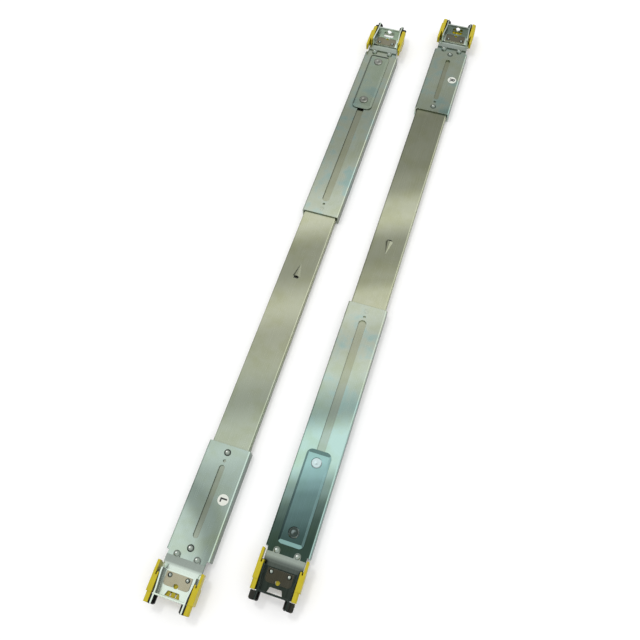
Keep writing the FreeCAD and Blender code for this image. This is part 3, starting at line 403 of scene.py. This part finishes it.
def plated_sheet(name, pale, deep, tint, gloss, upright=0.32, rows=(LEFT_RAIL, RIGHT_RAIL), leans=1,
                 tilts=0.8, edge="#dfe6df", bends=1.2, cool="#ffffff", patches=0.0, under_bracket_shade="#ffffff"):
    """Zinc plated rolled sheet, painted from its pale tone in bright reflection bands to its deep tone in dark
    ones.

    Upright is the painted shade level of upright faces. Leans, tilts, bends and patches say how much of each it
    has.
    """
    material, tree, output = new_material(name)
    spot = add_node(tree, "ShaderNodeTexCoord").outputs["Object"]
    bands, on_right, along = tent_bands(tree, spot, *rows, leans)
    surface = add_node(tree, "ShaderNodeNewGeometry")
    facing = add_node(tree, "ShaderNodeSeparateXYZ", Vector=surface.outputs["True Normal"])
    level, stands = light_level(tree, bands, on_right, facing, tilts, bends, upright)
    drawn_out = add_node(tree, "ShaderNodeMapping", _0=spot,
                         Scale=(1 / GRAIN_ACROSS, 1 / GRAIN_ALONG, 1 / GRAIN_UP))
    grain = add_node(tree, "ShaderNodeTexNoise", Vector=drawn_out.outputs[0], Scale=1.0, Detail=3.0,
                     Roughness=0.6)
    grain_level = add_node(tree, "ShaderNodeMapRange", _0=grain.outputs["Fac"], _1=NOISE_PARTS[0],
                           _2=NOISE_PARTS[1], _3=-GRAIN_TONE, _4=GRAIN_TONE)
    toned = add_node(tree, "ShaderNodeMath", {"operation": "ADD", "use_clamp": True}, _0=level,
                     _1=grain_level.outputs[0])
    sheet = add_node(tree, "ShaderNodeMix", COLOUR_MIX, _0=toned.outputs[0], _6=linear(deep), _7=linear(pale))
    plating_and_painted_light = tinted(tree, sheet.outputs[2], spot, along, on_right, tint, cool, patches, under_bracket_shade)
    rounded = add_node(tree, "ShaderNodeBevel", {"samples": 6}, Radius=EDGE_ROUND)
    agreement = add_node(tree, "ShaderNodeVectorMath", {"operation": "DOT_PRODUCT"},
                         _0=rounded.outputs[0], _1=surface.outputs["True Normal"])
    # Edge colour where the rounded normal leaves the true one: partly worn plating, partly a painted highlight.
    edge_wear_and_highlight = add_node(tree, "ShaderNodeMapRange", _0=agreement.outputs["Value"], _1=EDGE_WEAR_AND_HIGHLIGHT_PARTS[0],
                    _2=EDGE_WEAR_AND_HIGHLIGHT_PARTS[1], _3=0.0, _4=EDGE_WEAR_AND_HIGHLIGHT_STRENGTH)
    worn_and_highlit = add_node(tree, "ShaderNodeMix", COLOUR_MIX, _0=edge_wear_and_highlight.outputs[0], _6=plating_and_painted_light, _7=linear(edge))
    # Upright faces also get a greyer specular tint, which darkens their reflection: painted shade.
    upright_tint_shade = add_node(tree, "ShaderNodeMapRange", _0=stands, _3=1.0, _4=UPRIGHT_TINT_SHADE)
    roughness = add_node(tree, "ShaderNodeMapRange", _0=grain.outputs["Fac"], _1=NOISE_PARTS[0],
                         _2=NOISE_PARTS[1], _3=gloss[0], _4=gloss[1])
    lines = add_node(tree, "ShaderNodeBump", Strength=GRAIN_BUMP, Distance=GRAIN_DEPTH,
                     Height=grain.outputs["Fac"], Normal=rounded.outputs[0])
    shader = add_node(tree, "ShaderNodeBsdfPrincipled", Base_Color=worn_and_highlit.outputs[2], Metallic=1.0,
                      Roughness=roughness.outputs[0], Normal=lines.outputs[0],
                      Specular_Tint=upright_tint_shade.outputs[0])
    tree.links.new(shader.outputs[0], output.inputs["Surface"])
    return material


print("grain", GRAIN_ACROSS / MM, "mm across, edges rounded", EDGE_ROUND / MM, "mm")

# %% [markdown]
# ## The sheet finishes
# Each kind of sheet piece gets its finish, with a pale and a deep tone, a cloud tint, and a range of roughness.
# One finish for all would look cheaper: on the real rails the pieces come from different baths and tools, and
# the eye tells them apart by small differences in warmth and gloss.

# %% Sheet finishes
# The brackets: bright zinc with the blue-green cast of a clear passivation.
bracket_zinc = plated_sheet("bright zinc plated bracket steel", "#d8e2d4", "#3d483d", "#f2f0d8",
                            (0.20, 0.28), cool="#dcf7ff", patches=0.9)
# The guide plates come from another bath, and their clouds are less warm. Their painted cool reflection at
# the near end and their cool patches are bluer.
guide_zinc = plated_sheet("blue zinc plated guide steel", "#ccdac6", "#39453b", "#eef2e6", (0.20, 0.28),
                          rows=(LEFT_RAIL, RIGHT_GUIDE), bends=0.3, cool="#c6e8ff", patches=0.5)
# The guide rivets' flat heads are barrelled before plating, and pale. How bright each looks is painted
# reflection from their own short rows.
guide_rivet_zinc = plated_sheet("bright zinc plated rivet steel", "#f0f2ea", "#3a4038", "#f4f4ec",
                                (0.16, 0.24), rows=(LEFT_RIVETS, RIGHT_RIVETS), leans=0, tilts=0.25,
                                bends=0.3, cool="#e0f4ff")
# The end frames: the same zinc, pressed in a polished tool, so they are glossier and a little paler. How bright
# each part looks is painted reflection from their own rows, and their upright walls are painted in deep shade.
frame_zinc = plated_sheet("bright zinc plated frame steel", "#dceadf", "#1f2824", "#f4f4e4", (0.18, 0.26),
                          upright=0.08, rows=(LEFT_FRAMES, RIGHT_FRAMES), leans=0, tilts=0.1,
                          edge="#a9b5ac")
# The outer member between the brackets: the same zinc under a thin film of oil, which turns it warmer.
# Its covered part gets a painted shade, darker and cooler, from the brackets over it.
member_zinc = plated_sheet("oiled zinc plated slide steel", "#d8dcc2", "#43473a", "#f0f0dc", (0.20, 0.28),
                           upright=0.42, tilts=0.3, cool="#dcf0ff", under_bracket_shade="#eceef0")
# The inner members carry the balls, and are smoother.
runner_zinc = plated_sheet("bright drawn runner steel", "#cfd2ca", "#4a4d47", "#f2f2e8", (0.16, 0.24),
                           upright=0.4)
# Ball cages are thin stamped strip, rubbed by the members that pass them.
cage_zinc = plated_sheet("stamped cage strip steel", "#c8cac6", "#555853", "#f0f0e8", (0.22, 0.32),
                         upright=0.4)
# The leaf is bare spring steel, tempered to a faint straw colour.
leaf_steel = plated_sheet("straw tempered spring steel", "#aeab94", "#3e3e36", "#efe8d6", (0.22, 0.32),
                          rows=(LEFT_LEAVES, RIGHT_LEAVES), leans=0, edge="#c4c0aa")
print("sheet finishes:", bracket_zinc.name, "and seven more")

# %% [markdown]
# ## Rivets, pins and balls
# These are headed or turned, not rolled, so their grain doesn't run along the rail. The domes of the nickelled
# rivets mirror the tent's roof on the crown, and the dark room around their rims. The tone by the normal paints
# a darker rim on all of these, which is painted shade, and one bright spark on the rivets, a painted highlight,
# since the tent here has no seam to give it. The clinch rivets are zinc plated with their frame, and their
# painted rim shade is lighter. The latch pins are black oxide steel with a film of oil, and the balls are ground
# and polished.

# %% Headed and turned steel
SPECKLE_SIZE = 0.6 * MM
SPECKLE_TONE = 0.85
CROWN_PARTS = (0.80, 0.97)
SPARK_SIDE = (-0.22, 0.12, 0.97)
SPARK_PARTS = (0.975, 0.995)
SPARK_COLOUR = "#f4f6f0"
GLOSS_SPREAD = 0.2


def turned_steel(name, colour, deep, roughness, metallic, sparks=0.0):
    """Headed or turned steel: a fine speckle, a painted darker rim, a painted bright spark on the crown, rounded
    edges.
    """
    material, tree, output = new_material(name)
    spot = add_node(tree, "ShaderNodeTexCoord").outputs["Object"]
    speckle = add_node(tree, "ShaderNodeTexNoise", Vector=spot, Scale=1 / SPECKLE_SIZE, Detail=2.0)
    surface = add_node(tree, "ShaderNodeNewGeometry")
    facing = add_node(tree, "ShaderNodeSeparateXYZ", Vector=surface.outputs["Normal"])
    # Painted shade and highlight: the tone goes deep towards the rim, and to a bright spark facing the spark
    # side.
    crown = add_node(tree, "ShaderNodeMapRange", _0=facing.outputs["Z"], _1=CROWN_PARTS[0], _2=CROWN_PARTS[1])
    towards = add_node(tree, "ShaderNodeVectorMath", {"operation": "DOT_PRODUCT"},
                       _0=surface.outputs["Normal"], _1=SPARK_SIDE)
    spark = add_node(tree, "ShaderNodeMapRange", _0=towards.outputs["Value"], _1=SPARK_PARTS[0],
                     _2=SPARK_PARTS[1], _3=0.0, _4=sparks)
    speckled = add_node(tree, "ShaderNodeMapRange", _0=speckle.outputs["Fac"], _1=NOISE_PARTS[0],
                        _2=NOISE_PARTS[1], _3=SPECKLE_TONE, _4=1.0)
    crowned = add_node(tree, "ShaderNodeMath", {"operation": "MULTIPLY"}, _0=crown.outputs[0],
                       _1=speckled.outputs[0])
    dome = add_node(tree, "ShaderNodeMix", COLOUR_MIX, _0=crowned.outputs[0], _6=linear(deep),
                    _7=linear(colour))
    tone = add_node(tree, "ShaderNodeMix", COLOUR_MIX, _0=spark.outputs[0], _6=dome.outputs[2],
                    _7=linear(SPARK_COLOUR))
    gloss = add_node(tree, "ShaderNodeMapRange", _0=speckle.outputs["Fac"], _1=NOISE_PARTS[0],
                     _2=NOISE_PARTS[1], _3=roughness * (1 - GLOSS_SPREAD), _4=roughness * (1 + GLOSS_SPREAD))
    rounded = add_node(tree, "ShaderNodeBevel", {"samples": 4}, Radius=EDGE_ROUND)
    shader = add_node(tree, "ShaderNodeBsdfPrincipled", Base_Color=tone.outputs[2], Metallic=metallic,
                      Roughness=gloss.outputs[0], Normal=rounded.outputs[0])
    tree.links.new(shader.outputs[0], output.inputs["Surface"])
    return material


rivet_nickel = turned_steel("nickelled rivet steel", "#a2aca2", "#5a635c", 0.18, 1.0, sparks=1.0)
clinch_zinc = turned_steel("zinc plated clinch steel", "#98a49a", "#8e9a90", 0.22, 1.0, sparks=1.0)
pin_oxide = turned_steel("black oxide pin steel", "#32332e", "#151613", 0.22, 0.9)
ball_chrome = turned_steel("polished ball steel", "#dddddc", "#d2d2d2", 0.08, 1.0)
print("headed and turned:", rivet_nickel.name, clinch_zinc.name, pin_oxide.name, ball_chrome.name)

# %% [markdown]
# ## Yellow nylon
# The carriages are injection moulded nylon in signal yellow, the colour that marks a part to be touched.
# Moulded nylon is satin, lets a little light in at thin edges, and has the fine grain of its mould. Base colour
# alone would look like paint, so a small subsurface part and a bump of the mould's grain are added.

# %% Moulded nylon
MOULD_GRAIN = 0.35 * MM
MOULD_DEPTH = 0.05 * MM
MOULD_EDGE = 1.4 * EDGE_ROUND
FLOW_SIZE = 7 * MM
LIGHT_DEPTH = (0.8 * MM, 0.6 * MM, 0.1 * MM)

nylon, nylon_tree, nylon_output = new_material("moulded yellow nylon")
nylon_spot = add_node(nylon_tree, "ShaderNodeTexCoord").outputs["Object"]
nylon_grain = add_node(nylon_tree, "ShaderNodeTexNoise", Vector=nylon_spot, Scale=1 / MOULD_GRAIN, Detail=2.0)
nylon_flow = add_node(nylon_tree, "ShaderNodeTexNoise", Vector=nylon_spot, Scale=1 / FLOW_SIZE, Detail=2.0)
nylon_tone = add_node(nylon_tree, "ShaderNodeMix", COLOUR_MIX, _0=nylon_flow.outputs["Fac"],
                      _6=linear("#b3a200"), _7=linear("#c2b30c"))
nylon_round = add_node(nylon_tree, "ShaderNodeBevel", {"samples": 6}, Radius=MOULD_EDGE)
nylon_bump = add_node(nylon_tree, "ShaderNodeBump", Strength=0.3, Distance=MOULD_DEPTH,
                      Height=nylon_grain.outputs["Fac"], Normal=nylon_round.outputs[0])
nylon_shader = add_node(nylon_tree, "ShaderNodeBsdfPrincipled", Base_Color=nylon_tone.outputs[2],
                        Roughness=0.38, IOR=1.53, Normal=nylon_bump.outputs[0], Specular_IOR_Level=0.4,
                        Subsurface_Weight=0.1, Subsurface_Radius=LIGHT_DEPTH, Subsurface_Scale=1.0)
nylon_tree.links.new(nylon_shader.outputs[0], nylon_output.inputs["Surface"])
print("mould grain", MOULD_GRAIN / MM, "mm")

# %% [markdown]
# ## Label film
# The side label is a punched dot of white polyester film. Its print is a separate thin piece, because a letter
# in the film's own material would need a picture. Film and ink are smooth, and only faintly uneven.

# %% Film and ink
UNEVEN_SIZE = 2 * MM


def film(name, colour, deep, roughness):
    """Smooth film or ink with a faint unevenness."""
    material, tree, output = new_material(name)
    spot = add_node(tree, "ShaderNodeTexCoord").outputs["Object"]
    uneven = add_node(tree, "ShaderNodeTexNoise", Vector=spot, Scale=1 / UNEVEN_SIZE, Detail=2.0)
    tone = add_node(tree, "ShaderNodeMix", COLOUR_MIX, _0=uneven.outputs["Fac"], _6=linear(deep),
                    _7=linear(colour))
    shader = add_node(tree, "ShaderNodeBsdfPrincipled", Base_Color=tone.outputs[2], Roughness=roughness,
                      IOR=1.5)
    tree.links.new(shader.outputs[0], output.inputs["Surface"])
    return material


label_film = film("white polyester film", "#dcdfd6", "#d2d6cc", 0.35)
label_ink = film("black label ink", "#17191a", "#0f1011", 0.5)
print("label:", label_film.name, "and", label_ink.name)

# %% [markdown]
# ## Dressing the construction model
# Each node's name ends in what the piece is, so a table of endings gives each one its finish. Where two endings
# fit a name, the longer one counts. Naming all the nodes one by one would be twice as long for two rails.

# %% Give every node its finish
FINISHES = {
    "cabinet_member": member_zinc, "intermediate_member": runner_zinc, "chassis_member": runner_zinc,
    "ball_cage": cage_zinc, "balls": ball_chrome,
    "bracket": bracket_zinc, "guide_plate": guide_zinc, "end_frame": frame_zinc, "leaf_spring": leaf_steel,
    "rivets": rivet_nickel, "guide_rivets": guide_rivet_zinc, "clinch_rivets": clinch_zinc,
    "latch_pins": pin_oxide, "carriage": nylon, "side_label": label_film,
}
for name, node in nodes.items():
    ending = max((e for e in FINISHES if name.endswith(e)), key=len)
    node.data.materials.clear()
    node.data.materials.append(FINISHES[ending])
print("dressed", len(nodes), "nodes")

# %% [markdown]
# ## Side letters
# The dots carry a plain L and R, to tell the two sides of the rack apart. A letter could be cut out of the
# film, but it is print, so it is text turned into a mesh, with a hair of thickness, that lies on the film.

# %% Letters on the labels
LETTER_HEIGHT = 6.0 * MM
CAPITAL_PART = 0.7
INK_THICKNESS = 0.03 * MM
STROKE_SPREAD = 0.33 * MM


def side_letter(letter, node_name, turn):
    """A letter centred on a label, read from the side that the turn gives."""
    low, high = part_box(node_name)
    middle = [(a + b) / 2 for a, b in zip(low, high)]
    bpy.ops.object.text_add(location=(middle[0], middle[1], high[2]), rotation=(0, 0, math.radians(turn)))
    text = bpy.context.object
    text.data.body = letter
    text.data.align_x = "CENTER"
    text.data.align_y = "CENTER"
    text.data.size = LETTER_HEIGHT / CAPITAL_PART
    text.data.extrude = INK_THICKNESS
    text.data.offset = STROKE_SPREAD
    bpy.ops.object.convert(target="MESH")
    bpy.ops.object.transform_apply(location=True, rotation=True, scale=True)
    piece = bpy.context.object
    piece.name = node_name + "_letter"
    piece.data.materials.clear()
    piece.data.materials.append(label_ink)
    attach(piece, "rails")
    piece.select_set(False)
    return piece


left_letter = side_letter("L", "left_side_label", -90)
right_letter = side_letter("R", "right_side_label", -90)
print("letters", left_letter.name, right_letter.name)
